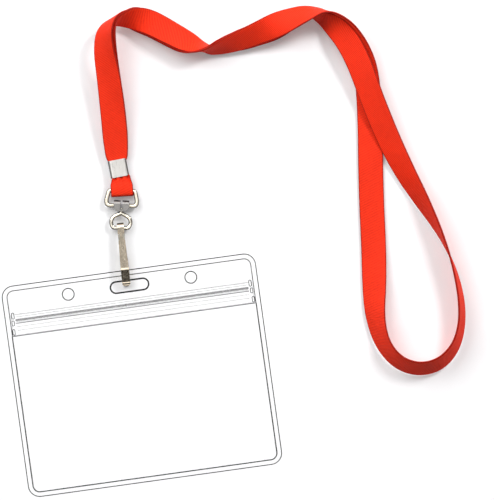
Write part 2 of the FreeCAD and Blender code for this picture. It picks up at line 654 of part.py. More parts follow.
def zip_channel():
    """The channel half of the zip, on the back film."""
    inner = RAIL_WIDTH / 2 + CHANNEL_GAP
    outer = inner + CHANNEL_WALL
    high = FRONT - TRACK_CLEARANCE
    walls = [box(TRACK_WIDTH, ZIP_Y - outer, ZIP_Y - inner, FILM, high),
             box(TRACK_WIDTH, ZIP_Y + inner, ZIP_Y + outer, FILM, high)]
    return tilted(Part.makeCompound(walls))


def grip_ribs():
    """Fine ribs along the lip's upper edge."""
    ribs = []
    for k in range(RIB_COUNT):
        y = BADGE_TOP - LIP_TOP - RIB_START - RIB_PITCH * k
        foot = FRONT + FILM
        ribs.append(box(TRACK_WIDTH, y - RIB_WIDTH / 2, y + RIB_WIDTH / 2, foot, foot + RIB_HEIGHT))
    return tilted(Part.makeCompound(ribs))


def zip_end_welds():
    """The crushed welds that close the zip's two ends."""
    pads = []
    for way in (-1, 1):
        middle = way * (LIP_WIDTH / 2 - ZIP_END / 2 + LIP_GAP)
        half = ZIP_END_HEIGHT / 2
        pads.append(box(ZIP_END, ZIP_Y - half, ZIP_Y + half, FILM, FRONT + FILM, middle))
    return tilted(Part.makeCompound(pads))


def weld_bead():
    """The raised bead along the weld's inner edge, on the window's side and bottom borders."""
    inset = WELD_WIDTH - BEAD_WIDTH
    outer = rounded_plate(BADGE_WIDTH - 2 * inset, BADGE_BOTTOM + inset, BADGE_TOP, FRONT + FILM,
                          BEAD_HEIGHT, BADGE_CORNER - inset)
    inner = rounded_plate(BADGE_WIDTH - 2 * WELD_WIDTH, BADGE_BOTTOM + WELD_WIDTH, BADGE_TOP + REACH,
                          0, REACH, BADGE_CORNER - WELD_WIDTH)
    return tilted(outer.cut(inner).cut(above_window()))


# --- all the pieces -------------------------------------------------------------------------------
BUILDERS = [neck_ribbon, bail_loop, crimp, d_bail, swivel_saddle, eye_loop, hook_body, gate_collar,
            hook_gate, back_film, header_film, perimeter_weld, weld_bead, front_film, zip_lip, zip_rail,
            zip_channel, grip_ribs, zip_end_welds]

os.makedirs("parts", exist_ok=True)
for build in BUILDERS:
    build().exportStep("parts/%s.step" % build.__name__)

print("exit", CRIMP_MOUTH, "bar", BAR_CENTRE, "saddle", SADDLE_CENTRE, "eye wire", EYE_WIRE)
print("hook foot", HOOK_FOOT, "slot", SLOT_CENTRE, "badge", BADGE_BOTTOM, BADGE_TOP, "tilt", BADGE_TILT)
print("gate root", along(EYE_WIRE, HOOK_TURN, 0, gate_root()[0]), gate_root()[1] + CHAIN_HEIGHT)
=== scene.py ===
import json
import math

import bmesh
import bpy
from mathutils import Matrix, Vector

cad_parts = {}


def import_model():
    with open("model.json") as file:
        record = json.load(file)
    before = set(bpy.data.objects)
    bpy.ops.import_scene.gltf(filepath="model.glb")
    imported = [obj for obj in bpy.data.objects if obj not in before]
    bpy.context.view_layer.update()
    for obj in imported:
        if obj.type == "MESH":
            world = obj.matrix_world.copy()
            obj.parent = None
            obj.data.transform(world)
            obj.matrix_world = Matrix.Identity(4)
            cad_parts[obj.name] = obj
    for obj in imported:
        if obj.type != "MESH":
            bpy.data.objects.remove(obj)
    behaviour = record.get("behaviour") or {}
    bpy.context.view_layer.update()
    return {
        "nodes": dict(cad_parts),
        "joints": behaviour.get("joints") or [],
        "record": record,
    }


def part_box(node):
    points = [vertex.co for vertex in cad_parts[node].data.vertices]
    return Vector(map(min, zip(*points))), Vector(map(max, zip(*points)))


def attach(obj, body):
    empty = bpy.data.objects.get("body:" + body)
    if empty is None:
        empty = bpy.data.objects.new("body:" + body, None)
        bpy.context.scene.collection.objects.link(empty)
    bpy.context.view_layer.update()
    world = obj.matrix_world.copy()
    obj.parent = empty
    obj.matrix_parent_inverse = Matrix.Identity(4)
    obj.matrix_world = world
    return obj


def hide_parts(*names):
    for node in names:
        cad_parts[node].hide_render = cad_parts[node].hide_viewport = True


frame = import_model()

MM = 0.001
SCENE = bpy.context.scene
SCENE.view_settings.view_transform = "Standard"
SCENE.cycles.transparent_max_bounces = 64  # the badge has many clear faces, one over another

# --- sizes, in metres -----------------------------------------------------------------------------
RIBBON_WIDTH = 0.0095
RIBBON_THICKNESS = 0.0008
PINCHED_WIDTH = 0.0056  # of the ribbon inside the crimp
MOUTH_WIDTH = 0.0077  # of the ribbon where it leaves the crimp
CRIMP_INSERT = 0.0026  # length of ribbon held in the crimp
OPEN_OUT = 0.009  # over which the ribbon opens to its full width
FOLD_TURN = -4.0  # degrees, of the fold under the crimp about Z

# The ribbon's centre line: x, y, z in millimetres and the roll about the line in degrees.
ROUTE = [
    (1.7, 59.0, 2.5, 0),
    (2.3, 68.0, 3.4, 0),
    (2.9, 80.0, 6.0, -6),
    (3.1, 93.0, 8.4, -20),
    (2.7, 103.4, 10.4, -36),
    (4.0, 111.0, 11.0, -54),
    (8.0, 115.4, 8.0, -88),
    (13.5, 114.9, 3.8, -140),
    (20.0, 111.5, 2.4, -192),
    (27.0, 106.3, 2.4, -200),
    (34.4, 100.2, 3.6, -222),
    (40.0, 97.1, 5.4, -276),
    (46.8, 98.0, 5.4, -302),
    (55.0, 99.8, 6.0, -322),
    (65.0, 102.5, 7.6, -338),
    (74.0, 104.9, 8.6, -388),
    (81.0, 106.6, 8.6, -410),
    (88.6, 106.8, 7.4, -450),
    (95.2, 101.1, 5.8, -470),
    (98.7, 93.2, 4.6, -490),
    (100.3, 83.5, 2.8, -518),
    (100.0, 73.0, 1.6, -534),
    (98.9, 61.0, 1.0, -538),
    (97.0, 46.0, 0.8, -540),
    (95.3, 31.0, 0.8, -540),
    (94.0, 16.0, 0.9, -538),
    (92.3, 2.0, 2.0, -525),
    (90.6, -11.0, 4.0, -498),
    (92.0, -22.0, 4.9, -484),
    (97.0, -29.8, 5.0, -482),
    (104.5, -33.4, 5.0, -482),
    (112.5, -32.6, 5.0, -480),
    (119.0, -27.5, 5.1, -472),
    (122.8, -19.5, 5.2, -466),
    (124.2, -9.0, 5.2, -464),
    (123.0, 4.0, 5.2, -456),
    (119.6, 17.0, 5.2, -440),
    (114.4, 30.0, 4.6, -415),
    (109.3, 42.2, 3.6, -396),
    (105.3, 54.2, 3.4, -382),
    (102.1, 66.2, 4.6, -378),
    (99.6, 77.0, 6.0, -378),
    (97.6, 86.3, 6.4, -370),
    (94.0, 95.9, 6.6, -372),
    (88.0, 103.3, 5.8, -405),
    (79.6, 105.8, 4.9, -468),
    (72.0, 104.0, 2.8, -512),
    (63.0, 101.6, 2.4, -562),
    (54.5, 99.8, 3.0, -572),
    (47.3, 99.4, 5.1, -600),
    (41.0, 99.2, 5.2, -642),
    (35.0, 101.4, 4.8, -690),
    (27.5, 107.0, 5.0, -706),
    (20.4, 112.1, 5.0, -722),
    (13.8, 114.0, 5.6, -762),
    (8.3, 113.6, 8.0, -802),
    (5.4, 109.3, 9.8, -845),
    (3.7, 102.4, 8.4, -866),
    (3.1, 92.0, 3.8, -880),
    (3.0, 80.0, 1.1, -894),
    (2.4, 68.0, 0.9, -900),
    (1.7, 59.0, 1.3, -900),
]

# Badge, in millimetres from the middle of its bottom edge.
BADGE_WIDTH = 97.4
BADGE_HEIGHT = 81.0
BADGE_CORNER = 4.5
FILM = 0.35
FRONT = 1.05  # height of the front film's underside above the badge's back
WELD_WIDTH = 2.2
SLOT_MARGIN = 6.2
SLOT_LENGTH = 14.0
SLOT_WIDTH = 3.7
HOLE_SPACING = 47.0
HOLE_RADIUS = 2.05
LIP_TOP = 10.9  # from the badge's top edge, like the next values up to LIP_RIDGES
ZIP_FOOT = 19.2
ZIP_LINE = 13.8
CHANNEL_WALLS = ((13.25, 0.62), (14.4, 0.4))  # each with its breadth
LIP_RIDGES = (15.7, 17.1)
LIP_GAP = 0.25
ZIP_END = 1.6
RIB_BREADTH = 0.3
GRIP_COUNT = 3
GRIP_START = 0.3
GRIP_PITCH = 0.8
PAD_WIDTH = 1.2
PADS = ((2.3, 2.6), (-0.5, 2.2), (-3.9, 2.4))  # height above the zip's middle, and length
HEADER_LINES = (0.62, 0.4, 0.4)  # width of the painted dark line round the slot and each hole

# Swivel, in millimetres from the middle of the bail's feet.
CHAIN_TURN = -10.0
EYE_DROP = 8.5
EYE_RADIUS = 0.72
HEAD_RADIUS = 1.05
HEAD_ENDS = (-1.4, -0.95)
EYE_SIDE = [(0.0, -1.5), (0.0, -2.1), (0.0, -2.9), (1.3, -3.45), (3.3, -4.6), (3.8, -6.4),
            (3.1, -EYE_DROP), (1.5, -EYE_DROP), (0.0, -EYE_DROP)]

JOINTS = {joint["name"]: joint for joint in frame["joints"]}
MOUNTS = {mount["name"]: mount for mount in frame["record"]["mounts"]}


# --- material nodes -------------------------------------------------------------------------------
class Look:
    """A material, and short ways to add nodes to it."""

    def __init__(self, name):
        self.material = bpy.data.materials.new(name)
        self.material.use_nodes = True
        self.tree = self.material.node_tree
        self.shader = self.tree.nodes["Principled BSDF"]
        self.output = self.tree.nodes["Material Output"]

    def add(self, kind, sockets=(), **settings):
        """A new node with its settings, and its inputs fed by name or number."""
        made = self.tree.nodes.new("ShaderNode" + kind)
        for key, value in settings.items():
            setattr(made, key, value)
        for key, value in dict(sockets).items():
            self.feed(made.inputs[key], value)
        return made

    def feed(self, socket, value):
        """A link from another node's output, or a plain value."""
        if isinstance(value, bpy.types.NodeSocket):
            self.tree.links.new(value, socket)
        else:
            socket.default_value = value

    def surface(self, **sockets):
        """Values and links for the Principled shader, by socket name with _ for a space."""
        for key, value in sockets.items():
            self.feed(self.shader.inputs[key.replace("_", " ")], value)

    def math(self, operation, first, second=0.0, third=0.0, clamp=False):
        return self.add("Math", {0: first, 1: second, 2: third}, operation=operation, use_clamp=clamp).outputs[0]

    def ramp(self, factor, *stops):
        """A colour ramp through (position, colour) stops."""
        made = self.add("ValToRGB", {"Fac": factor})
        elements = made.color_ramp.elements
        while len(elements) < len(stops):
            elements.new(0.5)
        for element, (position, colour) in zip(elements, stops):
            element.position = position
            element.color = (*colour, 1.0)
        return made.outputs["Color"]

    def noise(self, place, scale, detail=3.0, roughness=0.5):
        made = self.add("TexNoise", {"Vector": place, "Scale": scale, "Detail": detail, "Roughness": roughness})
        return made.outputs["Fac"]

    def bump(self, height, strength, distance, normal=None):
        sockets = {"Height": height, "Strength": strength, "Distance": distance}
        if normal is not None:
            sockets["Normal"] = normal
        return self.add("Bump", sockets).outputs["Normal"]

    def object_place(self, scale=(1.0, 1.0, 1.0), turn=(0.0, 0.0, 0.0)):
        """Object coordinates in metres, turned and then scaled."""
        place = self.add("TexCoord").outputs["Object"]
        turned = self.add("Mapping", {"Vector": place, "Rotation": turn})
        return self.add("Mapping", {"Vector": turned.outputs[0], "Scale": scale}).outputs[0]


def ribbon_material():
    """Woven ribbon: fine cords across it, a twill of yarns along them, and firm edges where painted shade darkens
    the colour.
    """
    look = Look("ribbon_weave")
    weave = look.add("Attribute", attribute_name="weave", attribute_type="GEOMETRY")
    axes = look.add("SeparateXYZ", {0: weave.outputs["Vector"]})
    along, across = axes.outputs["X"], axes.outputs["Y"]
    cord_pitch, yarn_pitch = 0.00062, 0.00042
    slant = look.math("MULTIPLY_ADD", across, 0.35, along)
    cords = look.math("SINE", look.math("MULTIPLY", slant, 2 * math.pi / cord_pitch))
    yarns = look.math("SINE", look.math("MULTIPLY", across, 2 * math.pi / yarn_pitch))
    uneven = look.noise(weave.outputs["Vector"], 900.0)
    broad = look.noise(weave.outputs["Vector"], 90.0, 2.0)
    cloth = look.math("MULTIPLY_ADD", yarns, 0.35, cords)
    cloth = look.math("MULTIPLY_ADD", uneven, 0.9, cloth)
    level = look.math("MULTIPLY_ADD", cloth, 0.22, 0.4, clamp=True)
    cord_colour = look.ramp(level, (0.0, (0.42, 0.008, 0.003)), (0.5, (0.93, 0.03, 0.006)),
                            (1.0, (1.0, 0.06, 0.012)))
    fade = look.ramp(broad, (0.3, (0.90, 0.90, 0.90)), (0.7, (1.0, 1.0, 1.0)))
    body = look.add("Mix", {"Factor": 1.0, 6: cord_colour, 7: fade}, data_type="RGBA", blend_type="MULTIPLY")
    # Painted shade: the colour darkens over the outermost tenth of each half of the width, where the edges turn
    # away from the light
    edge_share = look.math("DIVIDE", look.math("ABSOLUTE", across), RIBBON_WIDTH / 2)
    edge = look.ramp(edge_share, (0.9, (1.0, 1.0, 1.0)), (0.97, (0.4, 0.3, 0.3)))
    colour = look.add("Mix", {"Factor": 1.0, 6: body.outputs[2], 7: edge}, data_type="RGBA", blend_type="MULTIPLY")
    rough = look.math("MULTIPLY_ADD", uneven, 0.15, 0.6)
    normal = look.bump(cloth, 0.55, 0.00006)
    look.surface(Base_Color=colour.outputs[2], Roughness=rough, Normal=normal)
    look.surface(Specular_IOR_Level=0.15)
    return look.material


def nickel_material(name, colour, low, high, stretch, rim=0.25, depth=0.00001):
    """Nickel plate: a drawn grain, soft stains, roughness that varies with them, and painted shade on the outline
    where the surface is seen aslant.
    """
    look = Look(name)
    place = look.object_place(stretch)
    grain = look.noise(place, 1.0, 4.0, 0.6)
    stains = look.noise(look.object_place(), 420.0, 3.0)
    tone = tuple(0.93 * c for c in colour)
    plate = look.ramp(stains, (0.35, tone), (0.65, colour))
    # Painted shade: the colour darkens where the surface is seen aslant, down to rim at the outline, and rim also
    # darkens the edge tint. It stands in for the shadowed table that the outline reflects
    aslant = look.add("LayerWeight", {"Blend": 0.5}).outputs["Facing"]
    painted_grazing_shade = look.ramp(aslant, (0.16, (1.0, 1.0, 1.0)), (0.5, (rim, rim, rim)))
    shaded = look.add("Mix", {"Factor": 1.0, 6: plate, 7: painted_grazing_shade}, data_type="RGBA", blend_type="MULTIPLY")
    look.surface(Base_Color=shaded.outputs[2], Metallic=1.0, Specular_Tint=(rim, rim, rim, 1.0))
    mixed = look.math("MULTIPLY_ADD", stains, 0.15, look.math("MULTIPLY", grain, 0.85))
    spread = look.add("MapRange", {"Value": mixed, 1: 0.3, 2: 0.7, 3: low, 4: high})
    look.surface(Roughness=spread.outputs[0], Normal=look.bump(grain, 0.5, depth))
    return look.material


def vinyl_material():
    """Clear vinyl: it shows what is behind it, and reflects more where it is seen aslant."""
    look = Look("clear_vinyl")
    ripple = look.noise(look.object_place((1.0, 2.5, 1.0)), 45.0, 2.0)
    look.surface(Base_Color=(0.93, 0.95, 0.96, 1.0), Roughness=0.09, Specular_IOR_Level=0.6)
    normal = look.bump(ripple, 0.35, 0.0006)
    look.surface(Normal=normal)
    clear = look.add("BsdfTransparent", {"Color": (1.0, 1.0, 1.0, 1.0)})
    facing = look.add("Fresnel", {"IOR": 1.35, "Normal": normal})
    share = look.math("MULTIPLY_ADD", facing.outputs[0], 1.2, -0.012, clamp=True)
    share = look.math("MULTIPLY", share, look.add("LightPath").outputs["Is Camera Ray"])
    mixed = look.add("MixShader", {0: share, 1: clear.outputs[0], 2: look.shader.outputs[0]})
    look.feed(look.output.inputs["Surface"], mixed.outputs[0])
    return look.material


def vinyl_edge_material(name, tone, cover):
    """The vinyl's cut and welded edges, which turn the light away: their dark look is painted shade, a dark
    mottled colour seen only by the camera.
    """
    look = Look(name)
    mottle = look.noise(look.object_place(), 700.0, 2.0)
    light, dark = (min(1.0, tone * 1.5),) * 3, (tone * 0.7,) * 3
    look.surface(Base_Color=look.ramp(mottle, (0.3, dark), (0.7, light)), Roughness=0.3, Specular_IOR_Level=0.12)
    clear = look.add("BsdfTransparent", {"Color": (1.0, 1.0, 1.0, 1.0)})
    share = look.math("MULTIPLY", look.add("LightPath").outputs["Is Camera Ray"], cover)
    mixed = look.add("MixShader", {0: share, 1: clear.outputs[0], 2: look.shader.outputs[0]})
    look.feed(look.output.inputs["Surface"], mixed.outputs[0])
    return look.material


RIBBON = ribbon_material()
CLEAR = vinyl_material()
# Painted shade: these dark lines stand in for the dark that the clear vinyl shows where its cut edges, welds, zip
# and ribs turn the light away
OUTER_LINE = vinyl_edge_material("vinyl_cut_edge", 0.02, 1.0)
DARK_LINE = vinyl_edge_material("vinyl_dark_edge", 0.01, 1.0)
WELD_LINE = vinyl_edge_material("vinyl_weld_edge", 0.06, 0.75)
SOFT_LINE = vinyl_edge_material("vinyl_soft_edge", 0.15, 0.34)
ZIP_SHADE = vinyl_edge_material("vinyl_zip_edge", 0.05, 0.85)
# The last number of each nickel is rim, the painted shade at its outline
WIRE_NICKEL = nickel_material("nickel_wire", (0.80, 0.75, 0.64), 0.12, 0.26, (900.0, 2500.0, 900.0), 0.05)
BAIL_NICKEL = nickel_material("nickel_bail", (0.80, 0.73, 0.60), 0.3, 0.5, (900.0, 2500.0, 900.0), 0.04)
CRIMP_NICKEL = nickel_material("nickel_crimp", (0.64, 0.62, 0.59), 0.25, 0.45, (5200.0, 260.0, 700.0), 0.1)
SADDLE_NICKEL = nickel_material("nickel_saddle", (0.27, 0.26, 0.25), 0.22, 0.5, (4200.0, 900.0, 900.0), 0.03)
HOOK_NICKEL = nickel_material("nickel_hook", (0.74, 0.64, 0.50), 0.14, 0.3, (5200.0, 500.0, 500.0), 0.3)


# --- mesh helpers ---------------------------------------------------------------------------------
def mesh_piece(name, vertices, faces, material, flat=False):
    """An object of one material from points in metres and faces."""
    mesh = bpy.data.meshes.new(name)
    mesh.from_pydata(vertices, [], faces)
    mesh.materials.append(material)
    mesh.polygons.foreach_set("use_smooth", [not flat] * len(mesh.polygons))
    mesh.update()
    piece = bpy.data.objects.new(name, mesh)
    SCENE.collection.objects.link(piece)
    return piece


def place_piece(piece, body, slot, *nodes):
    """Puts a piece on its body, and in the place of the CAD nodes that it stands for."""
    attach(piece, body)
    if nodes:
        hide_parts(*nodes)


def rings_to_faces(ring_count, size):
    """Quads between successive rings of the same size, and the two end caps."""
    faces = []
    for ring in range(ring_count - 1):
        first, following = ring * size, (ring + 1) * size
        for k in range(size):
            after = (k + 1) % size
            faces.append((first + k, first + after, following + after, following + k))
    last = (ring_count - 1) * size
    faces.append(tuple(reversed(range(size))))
    faces.append(tuple(range(last, last + size)))
    return faces


def smooth_line(points, resolution):
    """Points read from the NURBS line with the given control points, from end to end."""
    curve = bpy.data.curves.new("line", "CURVE")
    curve.dimensions = "3D"
    curve.resolution_u = resolution
    spline = curve.splines.new("NURBS")
    spline.points.add(len(points) - 1)
    for control, place in zip(spline.points, points):
        control.co = (*place, 1.0)
    spline.order_u = 3
    spline.use_endpoint_u = True
    carrier = bpy.data.objects.new("line", curve)
    SCENE.collection.objects.link(carrier)
    mesh = bpy.data.meshes.new_from_object(carrier)
    places = [vertex.co.copy() for vertex in mesh.vertices]
    bpy.data.objects.remove(carrier)
    bpy.data.meshes.remove(mesh)
    return places


def ease(value):
    """0 below 0, 1 above 1 and smooth between."""
    value = min(1.0, max(0.0, value))
    return value * value * (3 - 2 * value)


# --- ribbon ---------------------------------------------------------------------------------------
def across_shares(count):
    """Places across a band from -1 to 1, closer together at its edges."""
    return [math.sin(math.pi / 2 * (-1 + 2 * k / (count - 1))) for k in range(count)]


def band_ring(place, side, up, width, thickness, lift):
    """A ring of points round a band's section. lift(share) raises the band's middle line."""
    shares = across_shares(17)
    ring, shown = [], []
    for face, row in ((1, shares), (-1, shares[-2:0:-1])):
        for share in row:
            rim = width / 2 * (1 - abs(share))
            half = thickness / 2 * min(1.0, math.sqrt(max(0.0, 1 - (1 - min(1.0, rim / (thickness / 2))) ** 2)))
            ring.append(place + side * (share * width / 2) + up * (lift(share) + face * half))
            shown.append(share)
    return ring, shown


def neck_ribbon():
    """The flat ribbon along its whole route, gathered at both ends where the crimp holds it."""
    line = smooth_line([Vector(row[:3]) * MM for row in ROUTE], 14)
    rolls = [point.x for point in smooth_line([(row[3] * MM, 0, 0) for row in ROUTE], 14)]
    travelled = [0.0]
    for before, after in zip(line, line[1:]):
        travelled.append(travelled[-1] + (after - before).length)
    length = travelled[-1]
    vertices, weave = [], []
    for k, place in enumerate(line):
        way = (line[min(k + 1, len(line) - 1)] - line[max(k - 1, 0)]).normalized()
        level = Vector((0, 0, 1)).cross(way).normalized()
        upward = way.cross(level)
        angle = math.radians(rolls[k] / MM)
        side = level * math.cos(angle) + upward * math.sin(angle)
        up = upward * math.cos(angle) - level * math.sin(angle)
        out = min(travelled[k], length - travelled[k]) - CRIMP_INSERT
        pinched = ease(-out / CRIMP_INSERT * 2)
        opened = math.sqrt(min(1.0, max(0.0, out) / OPEN_OUT))
        width = MOUTH_WIDTH + (RIBBON_WIDTH - MOUTH_WIDTH) * opened
        width += (PINCHED_WIDTH - MOUTH_WIDTH) * pinched
        pleat = 0.00022 * (1 - ease(out / OPEN_OUT))
        ring, shown = band_ring(place, side, up, width, RIBBON_THICKNESS,
                                lambda share: pleat * math.cos(2.5 * math.pi * share))
        vertices += ring
        weave += [(travelled[k], share * RIBBON_WIDTH / 2, 0.0) for share in shown]
    size = len(vertices) // len(line)
    piece = mesh_piece("neck_ribbon_cloth", vertices, rings_to_faces(len(line), size), RIBBON)
    layer = piece.data.attributes.new("weave", "FLOAT_VECTOR", "POINT")
    layer.data.foreach_set("vector", [number for point in weave for number in point])
    place_piece(piece, "lanyard", "ribbon", "neck_ribbon")


def bail_fold():
    """The ribbon's tail round the bail's bar: two layers, pleated where the crimp pinches them."""
    bar = Vector(JOINTS["bail_pivot"]["pos_m"])
    low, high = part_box("bail_loop")
    turn = math.radians(FOLD_TURN)
    across, away = Vector((math.cos(turn), math.sin(turn), 0)), Vector((-math.sin(turn), math.cos(turn), 0))
    top = high.y - bar.y
    foot = low.y - bar.y + RIBBON_THICKNESS / 2 + 0.004 * abs(math.sin(turn))
    depth = (high.z - low.z - RIBBON_THICKNESS) / 2
    held = depth * 0.72
    crimp_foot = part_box("crimp")[0].y - bar.y
    side = [(top, held), (crimp_foot + 0.0008, held), (crimp_foot - 0.0012, held * 1.02),
            (crimp_foot - 0.0034, depth), (foot + depth, depth * 1.02), (foot - 0.0002, depth * 0.8)]
    controls = [Vector((0, v, -w)) for v, w in side] + [Vector((0, v, w)) for v, w in reversed(side)]
    line = smooth_line(controls, 10)
    vertices, weave = [], []
    travelled = 0.0
    for k, point in enumerate(line):
        way = (line[min(k + 1, len(line) - 1)] - line[max(k - 1, 0)]).normalized()
        travelled += (point - line[max(k - 1, 0)]).length
        up = way.cross(Vector((1, 0, 0))).normalized()
        below = (crimp_foot - point.y) / 0.0034
        width = 0.0056 + 0.0014 * ease(below * 3 + 1.2) + 0.0015 * ease(below)
        pleat = 0.0006 * (1 - ease(below * 0.7)) * ease(below * 4 + 1.5)
        placed = bar + away * point.y + Vector((0, 0, point.z))
        ring, shown = band_ring(placed, across, away * up.y + Vector((0, 0, up.z)), width,
                                RIBBON_THICKNESS * 0.8, lambda share: pleat * math.cos(3 * math.pi * share))
        vertices += ring
        weave += [(travelled, share * RIBBON_WIDTH / 2, 0.0) for share in shown]
    size = len(vertices) // len(line)
    piece = mesh_piece("bail_fold_cloth", vertices, rings_to_faces(len(line), size), RIBBON)
    layer = piece.data.attributes.new("weave", "FLOAT_VECTOR", "POINT")
    layer.data.foreach_set("vector", [number for point in weave for number in point])
    place_piece(piece, "lanyard", "ribbon", "bail_loop")


# --- badge ----------------------------------------------------------------------------------------
def badge_frame():
    """The matrix from millimetres on the badge to metres in the shared frame."""
    slot = MOUNTS["clip_slot"]
    normal = Vector(slot["axis"]).normalized()
    across = Vector((1, 0, 0))
    up = normal.cross(across)
    origin = Vector(slot["pos_m"]) - up * (BADGE_HEIGHT - SLOT_MARGIN) * MM - normal * FILM * MM
    columns = Matrix((across * MM, up * MM, normal * MM)).transposed().to_4x4()
    return Matrix.Translation(origin) @ columns


BADGE = badge_frame()


def outline(corners, inset, steps=8):
    """Points round a polygon with rounded corners, drawn in by an inset.
    corners are (x, y, radius), anticlockwise."""
    points = []
    count = len(corners)
    for k in range(count):
        before, here, after = (Vector(corners[(k + step) % count][:2]) for step in (-1, 0, 1))
        arriving, leaving = (here - before).normalized(), (after - here).normalized()
        turn = math.atan2(arriving.x * leaving.y - arriving.y * leaving.x, arriving.dot(leaving))
        first_in = Vector((-arriving.y, arriving.x))
        second_in = Vector((-leaving.y, leaving.x))
        corner = here + (first_in + second_in) * (inset / (1 + first_in.dot(second_in)))
        way = 1 if turn > 0 else -1
        radius = max(0.02, corners[k][2] - inset * way)
        centre = corner - arriving * radius * math.tan(abs(turn) / 2) + first_in * radius * way
        for step in range(steps + 1):
            angle = turn * step / steps
            spoke = Vector((first_in.x * math.cos(angle) - first_in.y * math.sin(angle),
                            first_in.x * math.sin(angle) + first_in.y * math.cos(angle)))
            points.append(centre - spoke * radius * way)
    return points


def panel(width, low, high, low_corner=0.2, high_corner=0.2, middle=0.0):
    """Corners of a rectangle on the badge."""
    left, right = middle - width / 2, middle + width / 2
    return [(right, high, high_corner), (left, high, high_corner), (left, low, low_corner),
            (right, low, low_corner)]


def rounded_profile(low, high, rounding, line):
    """(inset, height) up the side of a sheet: round edges, then a band on top as wide as its painted dark line."""
    rise = [(rounding * (1 - math.sin(a)), low + rounding * (1 - math.cos(a)))
            for a in (0, math.pi / 6, math.pi / 3, math.pi / 2)]
    fall = [(inset, high + low - height) for inset, height in reversed(rise)]
    return rise + fall + ([(line, high)] if line > rounding else [])


def sheet_piece(name, outer, holes, low, high, lines, rounding=0.12):
    """A flat sheet with holes. lines are (material, width) for the outer edge and for each hole's."""
    build = bmesh.new()
    caps = {"low": [], "high": []}
    for number, corners in enumerate([outer] + holes):
        inward = 1 if number == 0 else -1
        profile = rounded_profile(low, high, rounding, lines[number][1])
        rows = []
        for inset, height in profile:
            rows.append([build.verts.new((*point, height)) for point in outline(corners, inset * inward)])
        size = len(rows[0])
        for below, above in zip(rows, rows[1:]):
            for k in range(size):
                quad = (below[k], below[(k + 1) % size], above[(k + 1) % size], above[k])
                face = build.faces.new(quad if inward > 0 else quad[::-1])
                face.material_index = number + 1
                face.smooth = True
        for level, row in (("low", rows[0]), ("high", rows[-1])):
            caps[level] += [build.edges.get((row[k], row[(k + 1) % size])) for k in range(size)]
    for level, way in (("low", -1), ("high", 1)):
        filled = bmesh.ops.triangle_fill(build, use_beauty=True, edges=caps[level], normal=(0, 0, way))
        for face in filled["geom"]:
            if isinstance(face, bmesh.types.BMFace):
                face.material_index = 0
                face.normal_update()
                if face.normal.z * way < 0:
                    face.normal_flip()
    build.transform(BADGE)
    mesh = bpy.data.meshes.new(name)
    build.to_mesh(mesh)
    build.free()
    mesh.materials.append(CLEAR)
    for material, _ in lines:
        mesh.materials.append(material)
    piece = bpy.data.objects.new(name, mesh)
    SCENE.collection.objects.link(piece)
    return piece


HEADER_Y = BADGE_HEIGHT - SLOT_MARGIN
LIP_WIDTH = BADGE_WIDTH - 2 * WELD_WIDTH - 2 * LIP_GAP
INNER_WIDTH = BADGE_WIDTH - 2 * WELD_WIDTH
INNER_CORNER = BADGE_CORNER - WELD_WIDTH


def header_holes():
    """The slot and the two round holes."""
    holes = [panel(SLOT_LENGTH, HEADER_Y - SLOT_WIDTH / 2, HEADER_Y + SLOT_WIDTH / 2,
                   SLOT_WIDTH / 2 - 0.001, SLOT_WIDTH / 2 - 0.001)]
    for way in (-1, 1):
        holes.append(panel(2 * HOLE_RADIUS, HEADER_Y - HOLE_RADIUS, HEADER_Y + HOLE_RADIUS,
                           HOLE_RADIUS - 0.001, HOLE_RADIUS - 0.001, way * HOLE_SPACING / 2))
    return holes


def badge_sheets():
    """The films, the weld round them and the zip strip."""
    whole = panel(BADGE_WIDTH, 0, BADGE_HEIGHT, BADGE_CORNER, BADGE_CORNER)
    inside = panel(INNER_WIDTH, WELD_WIDTH, BADGE_HEIGHT - WELD_WIDTH, INNER_CORNER, INNER_CORNER)
    weld = sheet_piece("weld_border", whole, [inside], 0.0, FRONT + FILM,
                       [(OUTER_LINE, 0.36), (WELD_LINE, 0.4)], 0.25)
    place_piece(weld, "badge", "vinyl", "perimeter_weld")
    slot_lines = list(zip((DARK_LINE, OUTER_LINE, OUTER_LINE), HEADER_LINES))
    back = sheet_piece("back_sheet", inside, header_holes(), 0.0, FILM, [(CLEAR, 0.1)] + slot_lines)
    place_piece(back, "badge", "vinyl", "back_film")
    header = sheet_piece("header_sheet",
                         panel(INNER_WIDTH, BADGE_HEIGHT - LIP_TOP + LIP_GAP, BADGE_HEIGHT - WELD_WIDTH,
                               0.2, INNER_CORNER),
                         header_holes(), FILM, 2 * FILM, [(CLEAR, 0.1)] + slot_lines)
    place_piece(header, "badge", "vinyl", "header_film")
    window = sheet_piece("window_sheet", panel(INNER_WIDTH, WELD_WIDTH, BADGE_HEIGHT - ZIP_FOOT, INNER_CORNER), [],
                         FRONT, FRONT + FILM, [(CLEAR, 0.1)])
    place_piece(window, "badge", "vinyl", "front_film")
    lip = sheet_piece("zip_strip", panel(LIP_WIDTH, BADGE_HEIGHT - ZIP_FOOT + LIP_GAP, BADGE_HEIGHT - LIP_TOP), [],
                      FRONT, FRONT + FILM, [(SOFT_LINE, 0.2)])
    place_piece(lip, "lip", "vinyl", "zip_lip")


def strips(name, body, nodes, rows, width, low, high, material):
    """Long low ribs across the badge: each row is its middle and its breadth."""
    for number, (y, breadth) in enumerate(rows):
        rib = sheet_piece("%s_%d" % (name, number), panel(width, y - breadth / 2, y + breadth / 2, 0.05, 0.05), [],
                          low, high, [(material, breadth / 2 - 0.02)], min(0.1, breadth / 3))
        place_piece(rib, body, "vinyl", *nodes)


